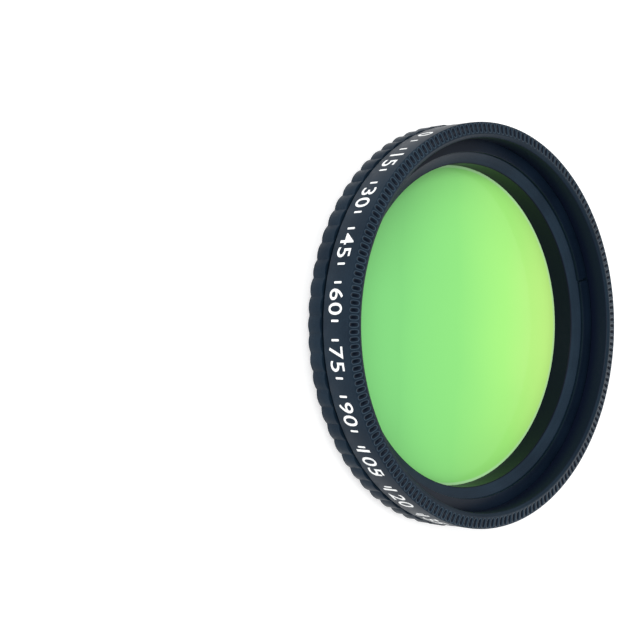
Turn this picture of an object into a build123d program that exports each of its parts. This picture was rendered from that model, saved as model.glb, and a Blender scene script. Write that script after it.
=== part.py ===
"""Slim circular polarising filter with a 37 mm screw thread.

It lies on its thread end, with the optical axis on +Z and the front up. The origin is the centre of the
thread's end face. A rear mount ring screws into a lens. A front ring, which carries the polariser, turns
in the mount ring's bore and is kept there by a snap wire in two facing grooves.
"""

from build123d import *
import os
from math import cos, pi, radians, sin

# Male thread: M37 x 0.75, drawn here as its plain major diameter.
thread_diameter = 37.0
thread_length = 1.9
thread_depth = 0.46
thread_relief_length = 0.35
thread_lead_chamfer = 0.3

# Mount ring.
grip_step = 1.6
grip_height = 1.6
grip_lobes = 72
grip_lobe_depth = 0.2
mount_wall = 1.15

# The line that shows between the two rings.
seam_width = 0.3
seam_depth = 0.8
seam_lip = 0.35
seam_rebate_depth = 0.35
seam_running_gap = 0.05

# Front ring.
band_inset = 0.1
band_height = 3.25
band_edge_chamfer = 0.1
front_wall = 1.55
rim_land = 0.1
rim_rise = 0.25
rim_width = 1.2
lip_drop = 0.18
shoulder_step = 0.35
spigot_wall = 0.65
spigot_recess = 0.15
spigot_chamfer = 0.15
glass_ledge_thickness = 0.3
glass_ledge_width = 0.7

# Fine radial knurl on the front rim.
knurl_ridges = 186
knurl_depth = 0.12
knurl_groove_share = 0.55
knurl_lip_margin = 0.12
knurl_edge_margin = 0.1

# Glass and film, from the front to the rear.
front_glass_thickness = 0.65
polariser_thickness = 0.15
quarter_wave_thickness = 0.1
rear_glass_thickness = 0.7
glass_edge_chamfer = 0.1

# Pressure ring, which holds the glass down on its ledge.
pressure_tube_wall = 0.45
pressure_flange_thickness = 0.53
pressure_facet_width = 1.05
pressure_facet_drop = 0.5

# Split ring, a flat spring in a groove of the front ring's bore.
split_ring_thickness = 0.35
split_ring_width = 1.45
split_ring_slit = 0.25
split_ring_slit_angle = 106.0
split_groove_depth = 0.3
split_groove_slack = 0.15

# Snap wire between the two rings, a spring wire of square section.
wire_thickness = 0.4
wire_gap_angle = 24.0
wire_groove_in_mount = 0.25
wire_groove_in_spigot = 0.3
wire_side_clearance = 0.05

# Clearances.
running_clearance = 0.05
seat_clearance = 0.05
small_clearance = 0.02

# Radii that follow from the sizes above, from the outside in.
thread_r = thread_diameter / 2
outer_r = thread_r + grip_step
band_r = outer_r - band_inset
front_bore_r = band_r - front_wall
mount_bore_r = thread_r - mount_wall
spigot_r = mount_bore_r - running_clearance
pocket_r = spigot_r - spigot_wall
glass_r = pocket_r - seat_clearance
ledge_r = pocket_r - glass_ledge_width

# Heights that follow, from the thread's end up.
grip_bottom_z = thread_length
grip_top_z = grip_bottom_z + grip_height
rebate_z = grip_top_z - seam_rebate_depth
band_bottom_z = grip_top_z + seam_width
band_top_z = band_bottom_z + band_height
rim_corner_z = band_top_z + rim_land
rim_top_z = rim_corner_z + rim_rise
shoulder_z = band_bottom_z + shoulder_step
ledge_z = spigot_recess + glass_ledge_thickness
wire_z = (grip_bottom_z + grip_top_z) / 2
flange_bottom_z = shoulder_z + seat_clearance
flange_top_z = flange_bottom_z + pressure_flange_thickness

# The laminated stack, from the ledge up.
rear_glass_top_z = ledge_z + rear_glass_thickness
quarter_wave_top_z = rear_glass_top_z + quarter_wave_thickness
polariser_top_z = quarter_wave_top_z + polariser_thickness
glass_front_z = polariser_top_z + front_glass_thickness

wire_groove_height = wire_thickness + 2 * wire_side_clearance


def scalloped_outline(root_r, crest_r, lobes):
    """Draw a closed outline of convex lobes, which meet in narrow valleys."""
    step = radians(360 / lobes)

    def at(radius, angle):
        return (radius * cos(angle), radius * sin(angle))

    for lobe in range(lobes):
        crest = lobe * step
        ThreePointArc(at(root_r, crest - step / 2), at(crest_r, crest), at(root_r, crest + step / 2))


# Mount ring: male thread, relief groove behind it, scalloped grip, plain bore for the spigot, and a rebate
# inside the grip's front edge, which makes the dark line under the band.
with BuildPart() as mount_ring:
    with BuildSketch(Plane.XZ):
        with BuildLine():
            Polyline(
                (mount_bore_r, 0),
                (thread_r - thread_lead_chamfer, 0),
                (thread_r, thread_lead_chamfer),
                (thread_r, grip_bottom_z - thread_relief_length),
                (thread_r - thread_depth, grip_bottom_z - thread_relief_length),
                (thread_r - thread_depth, grip_bottom_z),
                (outer_r, grip_bottom_z),
                (outer_r, grip_top_z),
                (outer_r - seam_lip, grip_top_z),
                (outer_r - seam_lip, rebate_z),
                (mount_bore_r, rebate_z),
                close=True,
            )
        make_face()
    revolve(axis=Axis.Z)

    # The grip's lobes: everything outside the scalloped outline is cut away.
    with BuildSketch(Plane.XY.offset(grip_bottom_z)):
        Circle(outer_r + grip_step)
        with BuildSketch(mode=Mode.SUBTRACT):
            with BuildLine():
                scalloped_outline(outer_r - grip_lobe_depth, outer_r, grip_lobes)
            make_face()
    extrude(amount=grip_height, mode=Mode.SUBTRACT)

    # Groove for the snap wire, in the bore.
    with BuildSketch(Plane.XZ):
        with Locations((mount_bore_r, wire_z)):
            Rectangle(wire_groove_in_mount, wire_groove_height, align=(Align.MIN, Align.CENTER))
    revolve(axis=Axis.Z, mode=Mode.SUBTRACT)
mount_ring.part.label = "mount_ring"


# Cutter for one groove of the knurl, a V with closed ends. Its two flanks pass through the apex of the
# rim's cone, so that the groove narrows inwards as the rim does.
rim_apex = Vector(0, 0, rim_corner_z + band_r * rim_rise / rim_width)
knurl_valley = Vector(band_r, 0, rim_corner_z - knurl_depth)
knurl_half_angle = knurl_groove_share * pi / knurl_ridges
with BuildPart() as knurl_cutter:
    with Locations((band_r - knurl_edge_margin, 0, rim_corner_z)):
        Box(
            rim_width - knurl_edge_margin - knurl_lip_margin,
            rim_width,
            2 * rim_width,
            align=(Align.MAX, Align.CENTER, Align.CENTER),
        )
    for side in (-1, 1):
        knurl_edge = Vector(
            band_r * cos(knurl_half_angle), side * band_r * sin(knurl_half_angle), rim_corner_z
        )
        flank_normal = (knurl_valley - rim_apex).cross(knurl_edge - rim_apex) * side
        split(bisect_by=Plane(origin=rim_apex, z_dir=flank_normal), keep=Keep.TOP)


# Front ring: plain band with a knurled rim, stepped bore, and the spigot that turns in the mount ring.
with BuildPart() as front_ring:
    with BuildSketch(Plane.XZ):
        with BuildLine():
            Polyline(
                (ledge_r, spigot_recess),
                (spigot_r - spigot_chamfer, spigot_recess),
                (spigot_r, spigot_recess + spigot_chamfer),
                (spigot_r, rebate_z + seam_running_gap),
                (band_r - seam_depth, rebate_z + seam_running_gap),
                (band_r - seam_depth, band_bottom_z),
                (band_r - band_edge_chamfer, band_bottom_z),
                (band_r, band_bottom_z + band_edge_chamfer),
                (band_r, rim_corner_z),
                (band_r - rim_width, rim_top_z),
                (front_bore_r, rim_top_z - lip_drop),
                (front_bore_r, shoulder_z),
                (pocket_r, shoulder_z),
                (pocket_r, ledge_z),
                (ledge_r, ledge_z),
                close=True,
            )
        make_face()
    revolve(axis=Axis.Z)

    # Groove for the split ring, in the bore.
    with BuildSketch(Plane.XZ):
        with Locations((front_bore_r, flange_top_z - small_clearance)):
            Rectangle(
                split_groove_depth,
                split_ring_thickness + split_groove_slack + small_clearance,
                align=(Align.MIN, Align.MIN),
            )
    revolve(axis=Axis.Z, mode=Mode.SUBTRACT)

    # Groove for the snap wire, around the spigot.
    with BuildSketch(Plane.XZ):
        with Locations((spigot_r, wire_z)):
            Rectangle(wire_groove_in_spigot, wire_groove_height, align=(Align.MAX, Align.CENTER))
    revolve(axis=Axis.Z, mode=Mode.SUBTRACT)

    # Knurl: V grooves down the rim's slope, which stop just short of its outer edge and of the lip.
    with PolarLocations(0, knurl_ridges):
        add(knurl_cutter.part, mode=Mode.SUBTRACT)
front_ring.part.label = "front_ring"


# Split ring: a flat spring ring, cut through at one place, which snaps into the groove in the bore.
split_ring_r = front_bore_r + split_groove_depth - seat_clearance
with BuildPart() as split_ring:
    with BuildSketch(Plane.XY.offset(flange_top_z)):
        Circle(split_ring_r)
        Circle(split_ring_r - split_ring_width, mode=Mode.SUBTRACT)
        with Locations(Location((0, 0, 0), (0, 0, split_ring_slit_angle))):
            Rectangle(
                2 * outer_r,
                split_ring_slit,
                align=(Align.MIN, Align.CENTER),
                mode=Mode.SUBTRACT,
            )
    extrude(amount=split_ring_thickness)
split_ring.part.label = "split_ring"


# Pressure ring: a flange under the split ring, a slanted inner face, and a tube that stands on the glass.
pressure_tube_r = glass_r - pressure_tube_wall
with BuildPart() as pressure_ring:
    with BuildSketch(Plane.XZ):
        with BuildLine():
            Polyline(
                (pressure_tube_r, glass_front_z),
                (glass_r, glass_front_z),
                (glass_r, flange_bottom_z),
                (front_bore_r - seat_clearance, flange_bottom_z),
                (front_bore_r - seat_clearance, flange_top_z),
                (pressure_tube_r + pressure_facet_width, flange_top_z),
                (pressure_tube_r, flange_top_z - pressure_facet_drop),
                close=True,
            )
        make_face()
    revolve(axis=Axis.Z)
pressure_ring.part.label = "pressure_ring"


# Front glass: the coated disc that shows, with its free edge ground off.
with BuildPart() as front_glass:
    with BuildSketch(Plane.XY.offset(polariser_top_z)):
        Circle(glass_r)
    extrude(amount=front_glass_thickness)
    chamfer(front_glass.edges().group_by(Axis.Z)[-1], glass_edge_chamfer)
front_glass.part.label = "front_glass"


# Polarising film, cemented between the glass discs.
with BuildPart() as polariser_film:
    with BuildSketch(Plane.XY.offset(quarter_wave_top_z)):
        Circle(glass_r)
    extrude(amount=polariser_thickness)
polariser_film.part.label = "polariser_film"


# Quarter-wave film behind the polariser.
with BuildPart() as quarter_wave_film:
    with BuildSketch(Plane.XY.offset(rear_glass_top_z)):
        Circle(glass_r)
    extrude(amount=quarter_wave_thickness)
quarter_wave_film.part.label = "quarter_wave_film"


# Rear glass, which sits on the spigot's ledge, with its free edge ground off.
with BuildPart() as rear_glass:
    with BuildSketch(Plane.XY.offset(ledge_z)):
        Circle(glass_r)
    extrude(amount=rear_glass_thickness)
    chamfer(rear_glass.edges().group_by(Axis.Z)[0], glass_edge_chamfer)
rear_glass.part.label = "rear_glass"


# Snap wire: it springs out into the mount ring's groove and reaches into the spigot's groove.
wire_outer_r = mount_bore_r + wire_groove_in_mount - small_clearance
with BuildPart() as snap_wire:
    with BuildSketch(Plane.XZ):
        with Locations((wire_outer_r, wire_z)):
            Rectangle(wire_thickness, wire_thickness, align=(Align.MAX, Align.CENTER))
    revolve(axis=Axis.Z, revolution_arc=360 - wire_gap_angle)
snap_wire.part.label = "snap_wire"


os.makedirs("parts", exist_ok=True)
export_step(mount_ring.part, "parts/mount_ring.step")
export_step(snap_wire.part, "parts/snap_wire.step")
export_step(front_ring.part, "parts/front_ring.step")
export_step(split_ring.part, "parts/split_ring.step")
export_step(pressure_ring.part, "parts/pressure_ring.step")
export_step(front_glass.part, "parts/front_glass.step")
export_step(polariser_film.part, "parts/polariser_film.step")
export_step(quarter_wave_film.part, "parts/quarter_wave_film.step")
export_step(rear_glass.part, "parts/rear_glass.step")
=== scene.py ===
"""Looks of a slim circular polarising filter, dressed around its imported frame.

Lengths in the classes are millimetres, and a mesh is scaled to metres as it is finished. The optical axis
is +Z, and the filter lies with its thread's end on the floor at z = 0.
"""

import logging
import math
from collections.abc import Callable, Sequence
from dataclasses import dataclass, field
from enum import Enum

import bmesh
import bpy
from mathutils import Matrix, Vector

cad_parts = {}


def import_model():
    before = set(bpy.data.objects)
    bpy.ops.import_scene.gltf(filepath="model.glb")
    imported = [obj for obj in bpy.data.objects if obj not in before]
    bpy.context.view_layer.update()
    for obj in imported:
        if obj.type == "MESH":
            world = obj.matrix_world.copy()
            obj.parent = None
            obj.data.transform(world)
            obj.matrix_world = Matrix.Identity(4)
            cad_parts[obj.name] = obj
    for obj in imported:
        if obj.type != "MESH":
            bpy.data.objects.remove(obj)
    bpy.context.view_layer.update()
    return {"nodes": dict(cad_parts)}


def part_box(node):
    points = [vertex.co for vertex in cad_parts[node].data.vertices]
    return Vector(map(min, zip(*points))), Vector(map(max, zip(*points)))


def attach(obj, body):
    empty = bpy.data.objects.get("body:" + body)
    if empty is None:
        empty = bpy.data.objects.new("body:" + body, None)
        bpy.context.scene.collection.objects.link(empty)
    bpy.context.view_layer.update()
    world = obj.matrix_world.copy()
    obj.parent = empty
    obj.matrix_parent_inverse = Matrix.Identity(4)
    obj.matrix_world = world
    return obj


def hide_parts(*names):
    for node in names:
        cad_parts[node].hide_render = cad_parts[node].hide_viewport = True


log = logging.getLogger("polarising_filter")

MM = 0.001
FULL_TURN = 2 * math.pi

# Vertices nearer to each other than this become one, in millimetres.
MERGE = 1e-4

# Smooth noise stays mostly between these two values.
NOISE_SPAN = (0.3, 0.7)

WHITE = (1.0, 1.0, 1.0, 1.0)

Colour = tuple[float, float, float]

# Radius and height of a place in a section, and a corner's own rounding where it has one.
Corner = tuple[float, ...]


class Body(Enum):
    """The two bodies of the frame."""

    MOUNT = "mount"
    ROTOR = "rotor"


class Slot(Enum):
    """Names of the material slots of the pieces that are built here, which the script doesn't give them."""

    MOUNT_RING = "mount_ring"
    FRONT_RING = "front_ring"
    SPLIT_RING = "split_ring"
    PRESSURE_RING = "pressure_ring"


def srgb(red: int, green: int, blue: int) -> Colour:
    """Turn an 8 bit display colour into a linear one."""

    def linear(level: int) -> float:
        share = level / 255
        return share / 12.92 if share <= 0.04045 else ((share + 0.055) / 1.055) ** 2.4

    return linear(red), linear(green), linear(blue)


# Shader graphs


class Value:
    """A number that varies over a surface. Python's operators on it add Math nodes."""

    def __init__(self, shader: "Shader", socket: bpy.types.NodeSocket) -> None:
        """Keep the output socket and the shader that it belongs to."""
        self.shader = shader
        self.socket = socket

    def _math(self, operation: str, *terms: "Value | float") -> "Value":
        """Add one Math node that takes the terms in order."""
        made = self.shader.node("ShaderNodeMath", {"operation": operation}, dict(enumerate(terms)))
        return Value(self.shader, made.outputs[0])

    def __add__(self, other: "Value | float") -> "Value":
        """Add two values."""
        return self._math("ADD", self, other)

    __radd__ = __add__

    def __sub__(self, other: "Value | float") -> "Value":
        """Take the other value from this one."""
        return self._math("SUBTRACT", self, other)

    def __rsub__(self, other: float) -> "Value":
        """Take this value from a number."""
        return self._math("SUBTRACT", other, self)

    def __mul__(self, other: "Value | float") -> "Value":
        """Multiply two values."""
        return self._math("MULTIPLY", self, other)

    __rmul__ = __mul__

    def __truediv__(self, other: "Value | float") -> "Value":
        """Divide this value by the other."""
        return self._math("DIVIDE", self, other)

    def __pow__(self, power: float) -> "Value":
        """Raise this value to a power."""
        return self._math("POWER", self, power)

    def largest(self, other: "Value | float") -> "Value":
        """Keep the larger of two values."""
        return self._math("MAXIMUM", self, other)

    def size(self) -> "Value":
        """Drop the sign."""
        return self._math("ABSOLUTE", self)

    def fraction(self) -> "Value":
        """Keep what is past the whole number below."""
        return self._math("FRACT", self)

    def angle_with(self, across: "Value") -> "Value":
        """Return the angle in radians whose tangent is this value over the other one."""
        return self._math("ARCTAN2", self, across)

    def ramp(self, low: float, high: float) -> "Value":
        """Spread a stretch of this value smoothly over 0 to 1.

        Args:
            low: where the result is 0, as it is below.
            high: where the result is 1, as it is above.

        Returns:
            The spread value.
        """
        settings = {"interpolation_type": "SMOOTHSTEP"}
        sockets = {"Value": self, "From Min": low, "From Max": high}
        made = self.shader.node("ShaderNodeMapRange", settings, sockets)
        return Value(self.shader, made.outputs["Result"])


class Shader:
    """The node tree of a material or of the world, filled through a single method that makes nodes."""

    # A Mix node holds its sockets for numbers and vectors before those for colours.
    MIX_COLOURS = (6, 7)
    MIX_RESULT = 2

    def __init__(self, owner: bpy.types.Material | bpy.types.World) -> None:
        """Keep the owner and empty its node tree."""
        owner.use_nodes = True
        self.owner = owner
        self.tree = owner.node_tree
        self.tree.nodes.clear()

    @classmethod
    def of_material(cls, name: str) -> "Shader":
        """Start a new material of that name."""
        return cls(bpy.data.materials.new(name))

    def node(self, kind: str, settings: dict | None = None, sockets: dict | None = None) -> bpy.types.Node:
        """Add a node.

        Args:
            kind: Blender's name of the node's type.
            settings: attributes that are set first; "stops" fills a colour ramp with (place, colour) pairs.
            sockets: input sockets by name or number, each a number, a colour, a socket or a Value.

        Returns:
            The new node.
        """
        made = self.tree.nodes.new(kind)
        for key, value in (settings or {}).items():
            if key == "stops":
                self._fill_ramp(made.color_ramp, value)
            else:
                setattr(made, key, value)
        for key, value in (sockets or {}).items():
            if isinstance(value, Value):
                value = value.socket
            if isinstance(value, bpy.types.NodeSocket):
                self.tree.links.new(value, made.inputs[key])
            else:
                made.inputs[key].default_value = value
        return made

    @staticmethod
    def _fill_ramp(ramp: bpy.types.ColorRamp, stops: Sequence[tuple[float, Colour]]) -> None:
        """Set a colour ramp's stops, which are given in rising order."""
        while len(ramp.elements) < len(stops):
            ramp.elements.new(1.0)
        for element, (place, colour) in zip(ramp.elements, stops):
            element.position = place
            element.color = (*colour, 1.0)

    def axes(self) -> tuple[Value, Value, Value]:
        """Return the surface point's x, y and z in the piece's own millimetres."""
        place = self.node("ShaderNodeTexCoord").outputs["Object"]
        scaled = self.node("ShaderNodeVectorMath", {"operation": "SCALE"}, {0: place, "Scale": 1 / MM})
        split = self.node("ShaderNodeSeparateXYZ", sockets={0: scaled.outputs[0]})
        x, y, z = (Value(self, socket) for socket in split.outputs)
        return x, y, z

    def radius(self, x: Value, y: Value) -> Value:
        """Return the distance from the optical axis in millimetres."""
        return (x * x + y * y) ** 0.5

    def noise(self, point: Sequence[Value | float], detail: float) -> Value:
        """Make smooth noise round 0.5, of about one lump a unit in each direction.

        Args:
            point: the three numbers that the noise follows.
            detail: how many times finer noise is added.

        Returns:
            The noise.
        """
        vector = self.node("ShaderNodeCombineXYZ", sockets=dict(enumerate(point)))
        made = self.node(
            "ShaderNodeTexNoise",
            {"noise_dimensions": "3D"},
            {"Vector": vector.outputs[0], "Scale": 1.0, "Detail": detail},
        )
        return Value(self, made.outputs[0])

    def lumps(self, axes: Sequence[Value], size: float, detail: float) -> Value:
        """Return noise with lumps of a size in millimetres, the same in all directions."""
        return self.noise([axis / size for axis in axes], detail)

    def colour_by(self, factor: Value, stops: Sequence[tuple[float, Colour]]) -> bpy.types.NodeSocket:
        """Pick a colour from the stops by a factor between 0 and 1."""
        return self.node("ShaderNodeValToRGB", {"stops": stops}, {"Fac": factor}).outputs["Color"]

    def mix_colour(
        self, factor: Value, first: Colour | bpy.types.NodeSocket, second: Colour | bpy.types.NodeSocket
    ) -> bpy.types.NodeSocket:
        """Go from one colour to another.

        Args:
            factor: 0 for the first colour and 1 for the second.
            first: a colour, or the socket that gives it.
            second: the other colour or socket.

        Returns:
            The mixed colour's socket.
        """
        made = self.node("ShaderNodeMix", {"data_type": "RGBA"}, {"Factor": factor})
        for number, colour in zip(self.MIX_COLOURS, (first, second)):
            if isinstance(colour, bpy.types.NodeSocket):
                self.tree.links.new(colour, made.inputs[number])
            else:
                made.inputs[number].default_value = (*colour, 1.0)
        return made.outputs[self.MIX_RESULT]

    def bump(self, height: Value, depth: float) -> bpy.types.NodeSocket:
        """Return a normal that follows a height from 0 to 1, whose full depth is in millimetres."""
        sockets = {"Height": height, "Distance": depth * MM, "Strength": 1.0}
        return self.node("ShaderNodeBump", sockets=sockets).outputs["Normal"]

    def finish(self, sockets: dict) -> bpy.types.Material:
        """End the graph in one Principled surface and return the material."""
        surface = self.node("ShaderNodeBsdfPrincipled", sockets=sockets)
        self.node("ShaderNodeOutputMaterial", sockets={"Surface": surface.outputs[0]})
        return self.owner


def varied(middle: float, *parts: tuple[Value, float]) -> Value:
    """Let a number vary over a surface about its middle.

    Args:
        middle: the number where every part's value is a half.
        parts: pairs of a value from 0 to 1 and the range that it adds.

    Returns:
        The varying number.
    """
    total = middle - sum(spread for _, spread in parts) / 2
    for value, spread in parts:
        total = value * spread + total
    return total


# Finishes


@dataclass(frozen=True)
class Knurl:
    """Oval pits pressed round a ring's sloping rim.

    The spans are in the depth that depth_at gives, which is below 0 outside a pit.
    """

    ridges: int = 186
    outer: float = 19.88
    inner: float = 18.92
    lowest: float = 6.9
    share: float = 0.66
    rim_fade: float = 0.05
    # Span of the painted shade in the pits.
    pit_span: tuple[float, float] = (0.05, 0.5)
    # Span of the painted highlights round the pits' edges.
    wear_span: tuple[float, float] = (-0.3, -0.05)
    wear_end: tuple[float, float] = (0.0, 0.15)

    def step(self) -> float:
        """Return the angle from one pit to the next."""
        return FULL_TURN / self.ridges

    def middle(self) -> float:
        """Return the radius at the middle of the pits."""
        return (self.outer + self.inner) / 2

    def half_length(self) -> float:
        """Return half a pit's length along the radius."""
        return (self.outer - self.inner) / 2

    def depth_at(self, radius: float, angle: float) -> float:
        """Tell how far into a pit a place lies.

        Args:
            radius: distance from the optical axis.
            angle: angle round it in radians.

        Returns:
            0 at a pit's edge and outside it, up to 1 in its middle.
        """
        across = abs((angle % self.step()) / self.step() - 0.5) / (self.share / 2)
        along = (radius - self.middle()) / self.half_length()
        return max(0.0, 1 - math.sqrt(across**2 + along**4))

    def shaded(self, shader: Shader, x: Value, y: Value, z: Value) -> tuple[Value, Value]:
        """Find the pits, which get painted shade, and the edges round them, which get painted highlights.

        Args:
            shader: the material's tree.
            x: surface point across, in millimetres.
            y: surface point along.
            z: surface point's height.

        Returns:
            Two masks, one for the painted shade in the pits and one for the painted highlights on their
            edges.
        """
        turn = (y.angle_with(x) / self.step()).fraction()
        across = (turn - 0.5).size() / (self.share / 2)
        along = (shader.radius(x, y) - self.middle()) / self.half_length()
        inside = 1 - (across * across + along * along * along * along) ** 0.5
        on_rim = z.ramp(self.lowest, self.lowest + self.rim_fade)
        # Painted shade mask: the inside of each pit.
        pits = inside.ramp(*self.pit_span) * on_rim
        # Painted highlight mask: a thin ring round each pit's edge, where light glints.
        edges = inside.ramp(*self.wear_span) * (1 - inside.ramp(*self.wear_end)) * on_rim
        return pits, edges


@dataclass(frozen=True)
class Anodised:
    """Black anodised aluminium: satin, bluish, with the lathe's fine rings under it.

    Inside the bore radius it is painted a deeper black with less green, as shade in the bore. On a knurl the
    pits are painted darker, as shade, and their edges lighter, as painted highlights.
    """

    name: str
    dark: Colour = srgb(12, 26, 39)
    light: Colour = srgb(24, 40, 53)
    # Painted shade: the colour inside the bore radius.
    bore: Colour = srgb(13, 20, 38)
    # Painted shade in the knurl's pits.
    pit: Colour = srgb(5, 13, 26)
    # Painted highlight on the edges round the knurl's pits, where light glints.
    worn: Colour = srgb(66, 84, 98)
    bore_radius: float = 0.0
    bore_fade: float = 0.05
    knurl: Knurl | None = None
    pit_cover: float = 0.85
    wear: float = 0.6
    roughness: float = 0.42
    gloss: float = 0.1
    line_pitch: float = 0.09
    line_depth: float = 0.002
    line_share: float = 0.25
    line_roughness: float = 0.1
    grain_size: float = 0.12
    grain_depth: float = 0.0015
    grain_share: float = 0.25
    grain_roughness: float = 0.08
    cloud_size: float = 5.0

    def material(self) -> bpy.types.Material:
        """Make the finish's material."""
        shader = Shader.of_material(self.name)
        x, y, z = shader.axes()
        radius = shader.radius(x, y)
        lines = shader.noise((radius / self.line_pitch, z / self.line_pitch, 0.0), 2.0)
        grain = shader.lumps((x, y, z), self.grain_size, 1.0)
        cloud = shader.lumps((x, y, z), self.cloud_size, 2.0)
        cloud_share = 1 - self.line_share - self.grain_share
        tone = lines * self.line_share + grain * self.grain_share + cloud * cloud_share
        colour = shader.mix_colour(tone.ramp(*NOISE_SPAN), self.dark, self.light)
        # Painted shade: inside the bore radius the colour turns darker and less green, as shade in the bore.
        if self.bore_radius:
            outside = radius.ramp(self.bore_radius, self.bore_radius + self.bore_fade)
            colour = shader.mix_colour(outside, self.bore, colour)
        if self.knurl:
            pits, edges = self.knurl.shaded(shader, x, y, z)
            # Painted highlight round each pit's edge.
            colour = shader.mix_colour(edges * self.wear, colour, self.worn)
            # Painted shade in each pit.
            colour = shader.mix_colour(pits * self.pit_cover, colour, self.pit)
        total_depth = self.line_depth + self.grain_depth
        height = (lines * self.line_depth + grain * self.grain_depth) / total_depth
        rough_lines = (lines, self.line_roughness)
        rough_grain = (grain, self.grain_roughness)
        return shader.finish(
            {
                "Base Color": colour,
                "Roughness": varied(self.roughness, rough_lines, rough_grain),
                "Normal": shader.bump(height, total_depth),
                "Metallic": 0.0,
                "Specular IOR Level": self.gloss,
            }
        )


@dataclass(frozen=True)
class CoatedGlass:
    """The front glass, whose coating sends back a green, with painted light on it: darker to the left in the
    ring wall's shade, brighter and yellower to the right, and a painted highlight round its edge.
    """

    name: str = "coated_glass"
    # Painted light across the glass: the stops run from the shaded left to the brighter, yellower right,
    # where light falls in.
    left: Colour = srgb(140, 232, 138)
    half_left: Colour = srgb(129, 213, 123)
    middle: Colour = srgb(139, 222, 122)
    half_right: Colour = srgb(166, 241, 125)
    right: Colour = srgb(204, 255, 140)
    # Painted highlight: the pale band round the glass's edge.
    edge: Colour = srgb(196, 238, 190)
    half_width: float = 16.0
    edge_width: float = 0.18
    edge_cover: float = 0.6
    drift_size: float = 9.0
    drift: float = 0.08
    dust_size: float = 0.6
    dust_roughness: float = 0.04
    roughness: float = 0.06
    gloss: float = 0.12
    coat: float = 0.06
    coat_roughness: float = 0.03

    def material(self) -> bpy.types.Material:
        """Make the finish's material."""
        shader = Shader.of_material(self.name)
        x, y, z = shader.axes()
        drift = shader.lumps((x, y, z), self.drift_size, 1.0)
        across = y / (2 * self.half_width) + 0.5 + (drift - 0.5) * self.drift
        # Painted light: darker to the left, in the ring wall's shade, brighter and yellower to the right.
        tones = (self.left, self.half_left, self.middle, self.half_right, self.right)
        coat = shader.colour_by(across, [(number / 4, tone) for number, tone in enumerate(tones)])
        # Painted highlight along the glass's edge.
        rim = shader.radius(x, y).ramp(self.half_width - self.edge_width, self.half_width)
        dust = shader.lumps((x, y, z), self.dust_size, 3.0)
        return shader.finish(
            {
                "Base Color": shader.mix_colour(rim * self.edge_cover, coat, self.edge),
                "Roughness": varied(self.roughness, (dust, self.dust_roughness)),
                "Specular IOR Level": self.gloss,
                "Coat Weight": self.coat,
                "Coat Roughness": self.coat_roughness,
            }
        )


@dataclass(frozen=True)
class RearGlass:
    """The rear glass, which shows the dark film behind it and a weak green of its coating."""

    name: str = "rear_glass"
    dark: Colour = srgb(52, 74, 66)
    light: Colour = srgb(74, 104, 84)
    drift_size: float = 12.0
    dust_size: float = 0.6
    dust_roughness: float = 0.04
    roughness: float = 0.05
    coat: float = 0.5
    coat_roughness: float = 0.03

    def material(self) -> bpy.types.Material:
        """Make the finish's material."""
        shader = Shader.of_material(self.name)
        axes = shader.axes()
        drift = shader.lumps(axes, self.drift_size, 1.0)
        dust = shader.lumps(axes, self.dust_size, 3.0)
        return shader.finish(
            {
                "Base Color": shader.mix_colour(drift.ramp(*NOISE_SPAN), self.dark, self.light),
                "Roughness": varied(self.roughness, (dust, self.dust_roughness)),
                "Coat Weight": self.coat,
                "Coat Roughness": self.coat_roughness,
            }
        )


@dataclass(frozen=True)
class Film:
    """A cast plastic film with faint stretch lines along one direction."""

    name: str
    dark: Colour
    light: Colour
    roughness: float = 0.3
    line_length: float = 8.0
    line_pitch: float = 0.3
    line_roughness: float = 0.1
    line_depth: float = 0.001

    def material(self) -> bpy.types.Material:
        """Make the finish's material."""
        shader = Shader.of_material(self.name)
        x, y, z = shader.axes()
        stretch = shader.noise((x / self.line_length, y / self.line_pitch, z / self.line_length), 2.0)
        return shader.finish(
            {
                "Base Color": shader.mix_colour(stretch.ramp(*NOISE_SPAN), self.dark, self.light),
                "Roughness": varied(self.roughness, (stretch, self.line_roughness)),
                "Normal": shader.bump(stretch, self.line_depth),
            }
        )


@dataclass(frozen=True)
class SpringSteel:
    """Bright drawn spring wire, with fine lines along it."""

    name: str = "spring_steel"
    dark: Colour = srgb(132, 134, 138)
    light: Colour = srgb(176, 178, 182)
    roughness: float = 0.305
    line_pitch: float = 0.03
    line_roughness: float = 0.15
    line_depth: float = 0.001

    def material(self) -> bpy.types.Material:
        """Make the finish's material."""
        shader = Shader.of_material(self.name)
        x, y, z = shader.axes()
        drawn = shader.noise((shader.radius(x, y) / self.line_pitch, z / self.line_pitch, 0.0), 2.0)
        return shader.finish(
            {
                "Base Color": shader.mix_colour(drawn, self.dark, self.light),
                "Roughness": varied(self.roughness, (drawn, self.line_roughness)),
                "Normal": shader.bump(drawn, self.line_depth),
                "Metallic": 1.0,
            }
        )


@dataclass(frozen=True)
class Ink:
    """White screen-printed ink, a little uneven."""

    name: str = "white_ink"
    thin: Colour = srgb(214, 218, 220)
    full: Colour = srgb(242, 244, 244)
    patch_size: float = 0.25
    patch_span: tuple[float, float] = (0.25, 0.5)
    patch_depth: float = 0.002
    patch_roughness: float = 0.2
    roughness: float = 0.5
    gloss: float = 0.3

    def material(self) -> bpy.types.Material:
        """Make the finish's material."""
        shader = Shader.of_material(self.name)
        cover = shader.lumps(shader.axes(), self.patch_size, 3.0)
        return shader.finish(
            {
                "Base Color": shader.mix_colour(cover.ramp(*self.patch_span), self.thin, self.full),
                "Roughness": varied(self.roughness, (cover, self.patch_roughness)),
                "Normal": shader.bump(cover, self.patch_depth),
                "Specular IOR Level": self.gloss,
            }
        )


# Meshes


def everything(mesh: bmesh.types.BMesh) -> list:
    """Return a mesh's vertices, edges and faces."""
    return mesh.verts[:] + mesh.edges[:] + mesh.faces[:]


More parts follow.
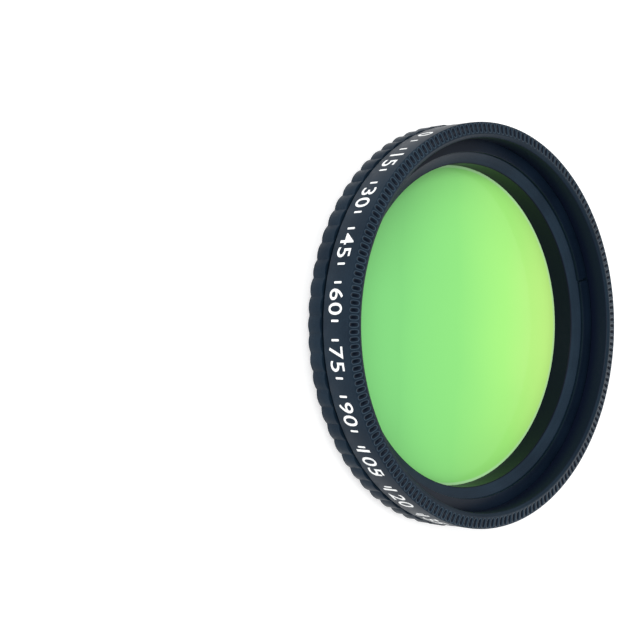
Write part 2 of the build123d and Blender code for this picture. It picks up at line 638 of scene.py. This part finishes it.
class Section:
    """A closed outline of (radius, height) corners, which is rounded and then turned about the axis."""

    def __init__(self, corners: Sequence[Corner], edge_radius: float = 0.0) -> None:
        """Draw the outline as one face in the XZ plane.

        Args:
            corners: radius, height and, where it isn't the edge radius, the corner's own rounding.
            edge_radius: rounding of the other corners.
        """
        self.mesh = bmesh.new()
        points = [self.mesh.verts.new((corner[0], 0, corner[1])) for corner in corners]
        self.mesh.faces.new(points)
        for point, corner in zip(points, corners):
            rounding = corner[2] if len(corner) > 2 else edge_radius
            if rounding > 0:
                self._round(point, rounding)

    def _round(self, point: bmesh.types.BMVert, rounding: float) -> None:
        """Round one corner."""
        bmesh.ops.bevel(
            self.mesh,
            geom=[point],
            affect="VERTICES",
            offset=rounding,
            offset_type="OFFSET",
            segments=2,
            profile=0.5,
            material=-1,
            clamp_overlap=True,
        )

    def turned(self, steps: int) -> bmesh.types.BMesh:
        """Turn the outline through a full circle.

        A narrow sector is spun and then doubled until it closes, which is much faster than one long spin.

        Args:
            steps: number of sectors round the circle.

        Returns:
            The closed mesh.
        """
        bmesh.ops.delete(self.mesh, geom=self.mesh.faces[:], context="FACES_ONLY")
        doublings = 0
        while steps % 2 == 0:
            steps //= 2
            doublings += 1
        arc = FULL_TURN / 2**doublings
        self._spin(self.mesh.verts[:] + self.mesh.edges[:], arc, steps, 0.0)
        for _ in range(doublings):
            copied = bmesh.ops.duplicate(self.mesh, geom=everything(self.mesh))
            new_vertices = [element for element in copied["geom"] if isinstance(element, bmesh.types.BMVert)]
            turn = Matrix.Rotation(arc, 3, "Z")
            bmesh.ops.rotate(self.mesh, verts=new_vertices, cent=(0, 0, 0), matrix=turn)
            arc *= 2
        bmesh.ops.remove_doubles(self.mesh, verts=self.mesh.verts[:], dist=MERGE)
        return self.mesh

    def turned_partly(self, arc: float, steps: int, rise: float = 0.0) -> bmesh.types.BMesh:
        """Turn the filled outline through an arc.

        Args:
            arc: the angle in radians, which may be several turns.
            steps: number of sectors in it.
            rise: how far each step climbs.

        Returns:
            The closed mesh.
        """
        self._spin(everything(self.mesh), arc, steps, rise)
        return self.mesh

    def _spin(self, geometry: list, arc: float, steps: int, rise: float) -> None:
        """Spin some of the mesh about the optical axis.

        Args:
            geometry: the vertices, edges and faces to spin.
            arc: the angle in radians.
            steps: number of sectors in it.
            rise: how far each step climbs.
        """
        bmesh.ops.spin(
            self.mesh,
            geom=geometry,
            axis=(0, 0, 1),
            cent=(0, 0, 0),
            dvec=(0, 0, rise),
            angle=arc,
            steps=steps,
        )


def reshape(mesh: bmesh.types.BMesh, rule: Callable[[float, float, float], Corner]) -> None:
    """Move each vertex within its own section plane.

    Args:
        mesh: the mesh to change.
        rule: gives a vertex's new radius and height from its radius, its angle and its height.
    """
    for vertex in mesh.verts:
        radius = math.hypot(vertex.co.x, vertex.co.y)
        angle = math.atan2(vertex.co.y, vertex.co.x)
        new_radius, new_height = rule(radius, angle, vertex.co.z)
        vertex.co = (new_radius * math.cos(angle), new_radius * math.sin(angle), new_height)


def finished(
    mesh: bmesh.types.BMesh,
    name: str,
    body: Body,
    material: bpy.types.Material,
    crease: float = 34.0,
) -> bpy.types.Object:
    """Turn a mesh in millimetres into a dressed piece that rides on its body.

    Args:
        mesh: the closed mesh, which is freed.
        name: name of the piece.
        body: the body that the piece moves with.
        material: the finish.
        crease: angle in degrees from which an edge stays sharp.

    Returns:
        The piece, at the origin.
    """
    bmesh.ops.remove_doubles(mesh, verts=mesh.verts[:], dist=MERGE)
    bmesh.ops.recalc_face_normals(mesh, faces=mesh.faces[:])
    bmesh.ops.scale(mesh, vec=(MM, MM, MM), verts=mesh.verts[:])
    data = bpy.data.meshes.new(name)
    mesh.to_mesh(data)
    mesh.free()
    data.shade_smooth()
    data.set_sharp_from_angle(angle=math.radians(crease))
    data.materials.append(material)
    piece = bpy.data.objects.new(name, data)
    bpy.context.scene.collection.objects.link(piece)
    weighted = piece.modifiers.new("flat_faces_stay_flat", "WEIGHTED_NORMAL")
    weighted.keep_sharp = True
    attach(piece, body.value)
    log.info("%s: %d faces on %s", name, len(data.polygons), body.value)
    return piece


def dress(node: bpy.types.Object, material: bpy.types.Material, crease: float = 30.0) -> None:
    """Give a node of the frame its finish, with smooth round walls.

    Args:
        node: the node.
        material: the finish.
        crease: angle in degrees from which an edge stays sharp.
    """
    node.data.materials.clear()
    node.data.materials.append(material)
    node.data.shade_smooth()
    node.data.set_sharp_from_angle(angle=math.radians(crease))
    log.info("%s: dressed", node.name)


@dataclass(frozen=True)
class Envelope:
    """Outer radius and heights of one node of the frame, in millimetres."""

    radius: float
    bottom: float
    top: float

    @classmethod
    def of(cls, node: str) -> "Envelope":
        """Measure a node of the frame."""
        low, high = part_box(node)
        return cls((high.x - low.x) / 2 / MM, low.z / MM, high.z / MM)


# The filter's sub-assemblies


@dataclass
class MountRing:
    """Rear ring: male thread, scalloped grip with a rebate inside its front edge, and plain bore."""

    lobes: int = 72
    lobe_depth: float = 0.2
    grip_height: float = 1.6
    lip: float = 0.35
    rebate_depth: float = 0.35
    bore_radius: float = 17.35
    thread_radius: float = 18.5
    thread_root: float = 18.04
    thread_pitch: float = 0.75
    thread_sunk: float = 0.04
    thread_root_share: float = 0.9
    thread_crest_share: float = 0.12
    thread_start: float = 0.02
    thread_steps: int = 144
    relief_length: float = 0.35
    lead_radius: float = 18.2
    wire_groove_depth: float = 0.25
    wire_groove_height: float = 0.5
    edge_radius: float = 0.04
    steps_per_lobe: int = 12
    finish: Anodised = Anodised("black_anodised_mount", line_pitch=0.11)

    def build(self) -> list[bpy.types.Object]:
        """Build the ring and its thread, and let them stand for the plain solid."""
        self.size = Envelope.of("mount_ring")
        self.grip_bottom = self.size.top - self.grip_height
        material = self.finish.material()
        ring = finished(self._ring(), "mount_ring_grip", Body.MOUNT, material)
        thread = finished(self._thread(), "mount_ring_thread", Body.MOUNT, material)
        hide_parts("mount_ring")
        return [ring, thread]

    def _ring(self) -> bmesh.types.BMesh:
        """Turn the ring's outline and cut its lobes."""
        outer, top = self.size.radius, self.size.top
        groove_bottom = (self.grip_bottom + top - self.wire_groove_height) / 2
        groove_top = groove_bottom + self.wire_groove_height
        groove_radius = self.bore_radius + self.wire_groove_depth
        section = Section(
            [
                (self.bore_radius, self.size.bottom),
                (self.thread_root, self.size.bottom),
                (self.thread_root, self.grip_bottom),
                (outer, self.grip_bottom),
                (outer, top),
                (outer - self.lip, top),
                (outer - self.lip, top - self.rebate_depth, 0.0),
                (self.bore_radius, top - self.rebate_depth),
                (self.bore_radius, groove_top, 0.0),
                (groove_radius, groove_top, 0.0),
                (groove_radius, groove_bottom, 0.0),
                (self.bore_radius, groove_bottom, 0.0),
            ],
            self.edge_radius,
        )
        mesh = section.turned(self.lobes * self.steps_per_lobe)
        reshape(mesh, self._lobed)
        return mesh

    def _lobed(self, radius: float, angle: float, height: float) -> Corner:
        """Draw the grip's wall in to the lobes.

        Args:
            radius: a vertex's distance from the optical axis.
            angle: its angle round it in radians.
            height: its height.

        Returns:
            Its new radius, and its height.
        """
        outer = self.size.radius
        if height < self.grip_bottom - self.edge_radius or radius < outer - self.lip / 2:
            return radius, height
        step = FULL_TURN / self.lobes
        root = outer - self.lobe_depth
        half_chord = root * math.sin(step / 2)
        rise = outer - root * math.cos(step / 2)
        lobe_radius = (half_chord**2 + rise**2) / (2 * rise)
        centre = outer - lobe_radius
        off_crest = (angle + step / 2) % step - step / 2
        reach = centre * math.cos(off_crest) + math.sqrt(lobe_radius**2 - (centre * math.sin(off_crest)) ** 2)
        return radius - (outer - reach), height

    def _thread(self) -> bmesh.types.BMesh:
        """Wind the thread's ridge, and end it flat at the relief groove and at the lead chamfer."""
        pitch = self.thread_pitch
        root = self.thread_root - self.thread_sunk
        half_root = self.thread_root_share * pitch / 2
        half_crest = self.thread_crest_share * pitch / 2
        turns = math.ceil((self.grip_bottom - self.size.bottom) / pitch) + 2
        start = self.size.bottom - pitch
        section = Section(
            [
                (root, start - half_root),
                (self.thread_radius, start - half_crest),
                (self.thread_radius, start + half_crest),
                (root, start + half_root),
            ]
        )
        steps = turns * self.thread_steps
        mesh = section.turned_partly(turns * FULL_TURN, steps, pitch / self.thread_steps)
        lowest = self.size.bottom + self.thread_start
        highest = self.grip_bottom - self.relief_length
        for height, direction in ((lowest, -1), (highest, 1)):
            bmesh.ops.bisect_plane(
                mesh,
                geom=everything(mesh),
                plane_co=(0, 0, height),
                plane_no=(0, 0, direction),
                clear_outer=True,
            )
            open_edges = [edge for edge in mesh.edges if edge.is_boundary]
            bmesh.ops.holes_fill(mesh, edges=open_edges, sides=0)
        reshape(mesh, lambda radius, angle, height: (min(radius, self.lead_radius + height), height))
        return mesh


@dataclass
class FrontRing:
    """Turning front ring: printed band, knurled rim, stepped bore and spigot.

    The band stands a little inside the solid's, so that the printed ink on it doesn't stand out of it.
    """

    band_height: float = 3.25
    band_inset: float = 0.015
    band_chamfer: float = 0.1
    seam_width: float = 0.3
    seam_depth: float = 0.8
    seam_boss: float = 0.6
    rim_land: float = 0.1
    rim_width: float = 1.2
    rim_corner_rounding: float = 0.07
    rim_top_rounding: float = 0.06
    lip_drop: float = 0.18
    front_wall: float = 1.55
    shoulder_step: float = 0.35
    spigot_radius: float = 17.3
    spigot_chamfer: float = 0.15
    pocket_radius: float = 16.65
    ledge_radius: float = 15.95
    ledge_thickness: float = 0.3
    split_groove_depth: float = 0.3
    split_groove_height: float = 0.52
    split_groove_clearance: float = 0.02
    wire_groove_depth: float = 0.3
    wire_groove_height: float = 0.5
    knurl_depth: float = 0.2
    slope_cuts: int = 9
    steps_per_ridge: int = 8
    edge_radius: float = 0.04
    # Painted shade inside the bore and in the knurl's pits, with painted highlights on the pits' edges.
    finish: Anodised = Anodised("black_anodised_front", bore_radius=18.46, knurl=Knurl())

    def build(self) -> list[bpy.types.Object]:
        """Build the ring and let it stand for the plain solid."""
        self.size = Envelope.of("front_ring")
        self.outer = self.size.radius - self.band_inset
        band_bottom = Envelope.of("mount_ring").top + self.seam_width
        self.rim_corner = band_bottom + self.band_height + self.rim_land
        ring = finished(self._ring(), "front_ring_band", Body.ROTOR, self.finish.material())
        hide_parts("front_ring")
        return [ring]

    def _ring(self) -> bmesh.types.BMesh:
        """Turn the ring's outline and press the knurl into its rim."""
        band_bottom = self.rim_corner - self.rim_land - self.band_height
        shoulder = band_bottom + self.shoulder_step
        bore = self.size.radius - self.front_wall
        ledge_top = self.size.bottom + self.ledge_thickness
        split_groove_radius = bore + self.split_groove_depth
        split_groove_bottom = Envelope.of("split_ring").bottom - self.split_groove_clearance
        split_groove_top = split_groove_bottom + self.split_groove_height
        wire = Envelope.of("snap_wire")
        wire_groove_radius = self.spigot_radius - self.wire_groove_depth
        wire_groove_bottom = (wire.bottom + wire.top - self.wire_groove_height) / 2
        wire_groove_top = wire_groove_bottom + self.wire_groove_height
        section = Section(
            [
                (self.ledge_radius, self.size.bottom),
                (self.spigot_radius - self.spigot_chamfer, self.size.bottom),
                (self.spigot_radius, self.size.bottom + self.spigot_chamfer),
                (self.spigot_radius, wire_groove_bottom, 0.0),
                (wire_groove_radius, wire_groove_bottom, 0.0),
                (wire_groove_radius, wire_groove_top, 0.0),
                (self.spigot_radius, wire_groove_top, 0.0),
                (self.spigot_radius, band_bottom - self.seam_boss, 0.0),
                (self.outer - self.seam_depth, band_bottom - self.seam_boss),
                (self.outer - self.seam_depth, band_bottom, 0.0),
                (self.outer, band_bottom, self.band_chamfer),
                (self.outer, self.rim_corner, self.rim_corner_rounding),
                *self._slope(),
                (self.outer - self.rim_width, self.size.top, self.rim_top_rounding),
                (bore, self.size.top - self.lip_drop),
                (bore, split_groove_top),
                (split_groove_radius, split_groove_top, 0.0),
                (split_groove_radius, split_groove_bottom, 0.0),
                (bore, split_groove_bottom, 0.0),
                (bore, shoulder, 0.0),
                (self.pocket_radius, shoulder),
                (self.pocket_radius, ledge_top, 0.0),
                (self.ledge_radius, ledge_top),
            ],
            self.edge_radius,
        )
        mesh = section.turned(self.finish.knurl.ridges * self.steps_per_ridge)
        reshape(mesh, self._knurled)
        return mesh

    def _slope(self) -> list[Corner]:
        """Divide the rim's slope evenly between its two corners."""
        inwards = self.rim_width / (self.slope_cuts + 1)
        upwards = (self.size.top - self.rim_corner) / (self.slope_cuts + 1)
        cuts = range(1, self.slope_cuts + 1)
        return [(self.outer - cut * inwards, self.rim_corner + cut * upwards, 0.0) for cut in cuts]

    def _knurled(self, radius: float, angle: float, height: float) -> Corner:
        """Press the knurl's pits into the rim's slope, square to it.

        Args:
            radius: a vertex's distance from the optical axis.
            angle: its angle round it in radians.
            height: its height.

        Returns:
            Its new radius and height.
        """
        if height < self.rim_corner:
            return radius, height
        depth = self.knurl_depth * self.finish.knurl.depth_at(radius, angle)
        rise = self.size.top - self.rim_corner
        slant = math.hypot(rise, self.rim_width)
        return radius - depth * rise / slant, height - depth * self.rim_width / slant


@dataclass
class SplitRing:
    """Flat spring ring in the front ring's bore, cut through at one place."""

    width: float = 1.45
    slit: float = 0.25
    slit_angle: float = 106.0
    sprung_in: float = 0.12
    sprung_arc: float = 14.0
    steps: int = 300
    edge_radius: float = 0.05
    finish: Anodised = Anodised(
        "black_anodised_split",
        dark=srgb(8, 18, 31),
        light=srgb(16, 29, 44),
        roughness=0.38,
    )

    def build(self) -> list[bpy.types.Object]:
        """Build the ring and let it stand for the plain solid."""
        self.size = Envelope.of("split_ring")
        inner, outer = self.size.radius - self.width, self.size.radius
        section = Section(
            [
                (inner, self.size.bottom),
                (outer, self.size.bottom),
                (outer, self.size.top),
                (inner, self.size.top),
            ],
            self.edge_radius,
        )
        gap = self.slit / ((inner + outer) / 2)
        mesh = section.turned_partly(FULL_TURN - gap, self.steps)
        reshape(mesh, self._sprung)
        turn = Matrix.Rotation(math.radians(self.slit_angle) + gap / 2, 3, "Z")
        bmesh.ops.rotate(mesh, verts=mesh.verts[:], cent=(0, 0, 0), matrix=turn)
        ring = finished(mesh, "split_ring_spring", Body.ROTOR, self.finish.material())
        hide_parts("split_ring")
        return [ring]

    def _sprung(self, radius: float, angle: float, height: float) -> Corner:
        """Let the ring's first end stand a little inwards of the other.

        Args:
            radius: a vertex's distance from the optical axis.
            angle: its angle from the first end in radians.
            height: its height.

        Returns:
            Its new radius, and its height.
        """
        share = max(0.0, 1 - (math.degrees(angle) % 360) / self.sprung_arc)
        return radius - self.sprung_in * share**2, height


@dataclass
class PressureRing:
    """Ring under the split ring: flange, slanted inner face and tube down to the glass."""

    tube_wall: float = 0.45
    tube_radius: float = 16.6
    flange_thickness: float = 0.53
    facet_width: float = 1.05
    facet_drop: float = 0.5
    steps: int = 360
    edge_radius: float = 0.04
    # Painted light and shade: the base is lighter than the other rings', for the light on the upward facet,
    # and inside the tube the colour is painted darker and bluer, as shade.
    finish: Anodised = Anodised(
        "black_anodised_pressure",
        dark=srgb(18, 32, 45),
        light=srgb(30, 46, 60),
        bore=srgb(4, 8, 27),
        bore_radius=16.2,
        roughness=0.4,
    )

    def build(self) -> list[bpy.types.Object]:
        """Build the ring and let it stand for the plain solid."""
        size = Envelope.of("pressure_ring")
        inner = self.tube_radius - self.tube_wall
        section = Section(
            [
                (inner, size.bottom),
                (self.tube_radius, size.bottom),
                (self.tube_radius, size.top - self.flange_thickness),
                (size.radius, size.top - self.flange_thickness),
                (size.radius, size.top),
                (inner + self.facet_width, size.top),
                (inner, size.top - self.facet_drop),
            ],
            self.edge_radius,
        )
        mesh = section.turned(self.steps)
        ring = finished(mesh, "pressure_ring_facet", Body.ROTOR, self.finish.material())
        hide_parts("pressure_ring")
        return [ring]


@dataclass
class DegreeScale:
    """White numbers and ticks printed round the band."""

    height: float = 1.73
    foot: float = 4.52
    first_angle: float = -156.0
    number_step: int = 15
    numbers: int = 10
    tick_step: int = 5
    tick_height: float = 0.95
    tick_width: float = 0.2
    tick_rounding: float = 0.08
    ink_depth: float = 0.012
    boldness: float = 0.012
    spacing: float = 1.08
    slice_width: float = 0.25
    cut_reach: float = 1e-5
    curve_steps: int = 6
    finish: Ink = Ink()

    def build(self) -> list[bpy.types.Object]:
        """Build the numbers and ticks, bent round the band."""
        self.radius = Envelope.of("front_ring").radius - self.ink_depth
        material = self.finish.material()
        pieces = []
        for place in range(self.numbers):
            value = place * self.number_step
            mesh = self._number(str(value))
            self._bend(mesh, self.first_angle + value)
            pieces.append(finished(mesh, f"scale_number_{value}", Body.ROTOR, material))
        last = (self.numbers - 1) * self.number_step
        marks = bmesh.new()
        for value in range(0, last, self.tick_step):
            if value % self.number_step:
                self._add_tick(marks, math.radians(value) * self.radius)
        self._bend(marks, self.first_angle)
        pieces.append(finished(marks, "scale_ticks", Body.ROTOR, material))
        return pieces

    def _number(self, text: str) -> bmesh.types.BMesh:
        """Set a number as a flat solid.

        Args:
            text: the number's digits.

        Returns:
            The solid, centred on x, with its foot on y = 0.
        """
        curve = bpy.data.curves.new("number", "FONT")
        curve.body = text
        curve.align_x = "CENTER"
        curve.size = 1.0
        curve.resolution_u = self.curve_steps
        curve.space_character = self.spacing
        holder = bpy.data.objects.new("number", curve)
        bpy.context.scene.collection.objects.link(holder)
        bpy.context.view_layer.update()
        plain_height = holder.dimensions.y
        curve.size = (self.height - 2 * self.boldness) / plain_height
        curve.offset = self.boldness
        curve.extrude = self.ink_depth / 2
        bpy.context.view_layer.update()
        set_text = holder.evaluated_get(bpy.context.evaluated_depsgraph_get())
        data = bpy.data.meshes.new_from_object(set_text)
        mesh = bmesh.new()
        mesh.from_mesh(data)
        bpy.data.objects.remove(holder)
        bpy.data.curves.remove(curve)
        bpy.data.meshes.remove(data)
        bmesh.ops.remove_doubles(mesh, verts=mesh.verts[:], dist=MERGE)
        foot = min(vertex.co.y for vertex in mesh.verts)
        bmesh.ops.translate(mesh, vec=(0, -foot, 0), verts=mesh.verts[:])
        return mesh

    def _add_tick(self, mesh: bmesh.types.BMesh, along: float) -> None:
        """Add one tick, half way up the numbers.

        Args:
            mesh: the flat marks, which get the tick.
            along: its distance along the band.
        """
        size = Matrix.Diagonal((self.tick_width, self.tick_height, self.ink_depth, 1))
        place = Matrix.Translation((along, self.height / 2, 0))
        made = bmesh.ops.create_cube(mesh, size=1.0, matrix=place @ size)
        upright = [edge for edge in mesh.edges if edge.verts[0] in made["verts"] and self._is_corner(edge)]
        bmesh.ops.bevel(
            mesh,
            geom=upright,
            affect="EDGES",
            offset=self.tick_rounding,
            segments=3,
            profile=0.5,
            material=-1,
        )

    @staticmethod
    def _is_corner(edge: bmesh.types.BMEdge) -> bool:
        """Tell whether an edge runs through the ink's thickness."""
        first, second = (vertex.co for vertex in edge.verts)
        return (first - second).xy.length < MERGE

    def _bend(self, mesh: bmesh.types.BMesh, middle_angle: float) -> None:
        """Cut a flat mark into narrow slices and wrap it round the band.

        Args:
            mesh: the flat mark.
            middle_angle: the angle in degrees at which its x = 0 comes to lie.
        """
        low = min(vertex.co.x for vertex in mesh.verts)
        high = max(vertex.co.x for vertex in mesh.verts)
        for number in range(1, math.ceil((high - low) / self.slice_width)):
            cut = (low + number * self.slice_width, 0, 0)
            bmesh.ops.bisect_plane(
                mesh, geom=everything(mesh), plane_co=cut, plane_no=(1, 0, 0), dist=self.cut_reach
            )
        for vertex in mesh.verts:
            angle = math.radians(middle_angle) + vertex.co.x / self.radius
            out = self.radius + vertex.co.z + self.ink_depth / 2
            vertex.co = (out * math.cos(angle), out * math.sin(angle), self.foot + vertex.co.y)


@dataclass
class GlassStack:
    """The laminated glass and films, and the hidden snap wire, which keep their solids."""

    front: CoatedGlass = CoatedGlass()
    rear: RearGlass = RearGlass()
    polariser: Film = Film("polariser_film", srgb(44, 46, 50), srgb(58, 60, 64))
    quarter_wave: Film = Film("quarter_wave_film", srgb(168, 170, 164), srgb(186, 188, 182), 0.2)
    wire: SpringSteel = SpringSteel()

    def build(self, nodes: dict[str, bpy.types.Object]) -> None:
        """Dress the nodes of the frame."""
        dress(nodes["front_glass"], self.front.material())
        dress(nodes["rear_glass"], self.rear.material())
        dress(nodes["polariser_film"], self.polariser.material())
        dress(nodes["quarter_wave_film"], self.quarter_wave.material())
        dress(nodes["snap_wire"], self.wire.material())


# The studio


@dataclass(frozen=True)
class SoftLight:
    """A square area light that points at the filter."""

    name: str
    place: tuple[float, float, float]
    side: float
    power: float

    def hang(self) -> None:
        """Add the light to the scene, in metres and watts."""
        data = bpy.data.lights.new(self.name, "AREA")
        data.shape = "SQUARE"
        data.size = self.side
        data.energy = self.power
        light = bpy.data.objects.new(self.name, data)
        light.location = self.place
        light.rotation_euler = (-Vector(self.place)).to_track_quat("-Z", "Y").to_euler()
        bpy.context.scene.collection.objects.link(light)


@dataclass(frozen=True)
class PhotoCamera:
    """The photograph's view: from one side and above, rolled a quarter turn."""

    place: tuple[float, float, float] = (0.0, -0.10703, 0.0973)
    forward: tuple[float, float, float] = (-0.00683, 0.67729, -0.73568)
    picture_up: tuple[float, float, float] = (-0.99997, -0.00717, 0.00268)
    lens: float = 80.51
    sensor: float = 36.0
    nearest: float = 0.005
    farthest: float = 20.0

    def set_up(self) -> None:
        """Add the camera and make it the scene's own."""
        back = -Vector(self.forward).normalized()
        right = Vector(self.picture_up).cross(back).normalized()
        up = back.cross(right)
        data = bpy.data.cameras.new("photo_camera")
        data.lens = self.lens
        data.sensor_width = self.sensor
        data.clip_start = self.nearest
        data.clip_end = self.farthest
        camera = bpy.data.objects.new("photo_camera", data)
        turned = Matrix((right, up, back)).transposed().to_4x4()
        camera.matrix_world = Matrix.Translation(Vector(self.place)) @ turned
        bpy.context.scene.collection.objects.link(camera)
        bpy.context.scene.camera = camera


@dataclass
class Studio:
    """Pale floor, white surroundings and plain soft light."""

    floor_side: float = 4.0
    floor_colour: Colour = (0.9, 0.9, 0.9)
    floor_glow: float = 0.35
    surroundings: float = 0.65
    lights: list[SoftLight] = field(
        default_factory=lambda: [
            SoftLight("key_light", (-0.1, -0.42, 0.34), 0.3, 2.4),
            SoftLight("side_light", (0.12, 0.5, 0.24), 0.2, 0.6),
        ]
    )
    camera: PhotoCamera = PhotoCamera()

    def build(self) -> None:
        """Lay the floor, and set the world, the lights and the camera."""
        mesh = bmesh.new()
        bmesh.ops.create_grid(mesh, x_segments=1, y_segments=1, size=self.floor_side / 2)
        data = bpy.data.meshes.new("floor")
        mesh.to_mesh(data)
        mesh.free()
        data.materials.append(self._floor_material())
        floor = bpy.data.objects.new("floor", data)
        bpy.context.scene.collection.objects.link(floor)
        self._fill_world()
        for light in self.lights:
            light.hang()
        self.camera.set_up()
        bpy.context.scene.view_settings.view_transform = "Standard"

    def _floor_material(self) -> bpy.types.Material:
        """Make a matt white floor, with a little glow for the camera and for reflections."""
        shader = Shader.of_material("white_floor")
        matt = shader.node("ShaderNodeBsdfDiffuse", sockets={"Color": (*self.floor_colour, 1.0)})
        strength = self._seen(shader) * self.floor_glow
        glow = shader.node("ShaderNodeEmission", sockets={"Color": WHITE, "Strength": strength})
        both = shader.node("ShaderNodeAddShader", sockets={0: matt.outputs[0], 1: glow.outputs[0]})
        shader.node("ShaderNodeOutputMaterial", sockets={"Surface": both.outputs[0]})
        return shader.owner

    @staticmethod
    def _seen(shader: Shader) -> Value:
        """Tell rays that are seen from those that light.

        Args:
            shader: the tree of the floor or the world.

        Returns:
            1 for a ray from the camera, from a reflection or through glass, and 0 for other light.
        """
        path = shader.node("ShaderNodeLightPath")
        camera, glossy, through = (
            Value(shader, path.outputs[name])
            for name in ("Is Camera Ray", "Is Glossy Ray", "Is Transmission Ray")
        )
        return camera.largest(glossy).largest(through)

    def _fill_world(self) -> None:
        """Surround the scene with white, which lights it at a plain level."""
        world = bpy.data.worlds.new("white_surroundings")
        bpy.context.scene.world = world
        shader = Shader(world)
        strength = self._seen(shader) * (1 - self.surroundings) + self.surroundings
        light = shader.node("ShaderNodeBackground", sockets={"Color": WHITE, "Strength": strength})
        shader.node("ShaderNodeOutputWorld", sockets={"Surface": light.outputs[0]})


def main() -> None:
    """Build the filter's pieces on the frame, then the studio."""
    logging.basicConfig(level=logging.INFO, format="%(message)s")
    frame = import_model()
    for assembly in (MountRing(), FrontRing(), SplitRing(), PressureRing(), DegreeScale()):
        pieces = assembly.build()
        log.info("%s: %d pieces", type(assembly).__name__, len(pieces))
    GlassStack().build(frame["nodes"])
    Studio().build()


if __name__ == "__main__":
    main()
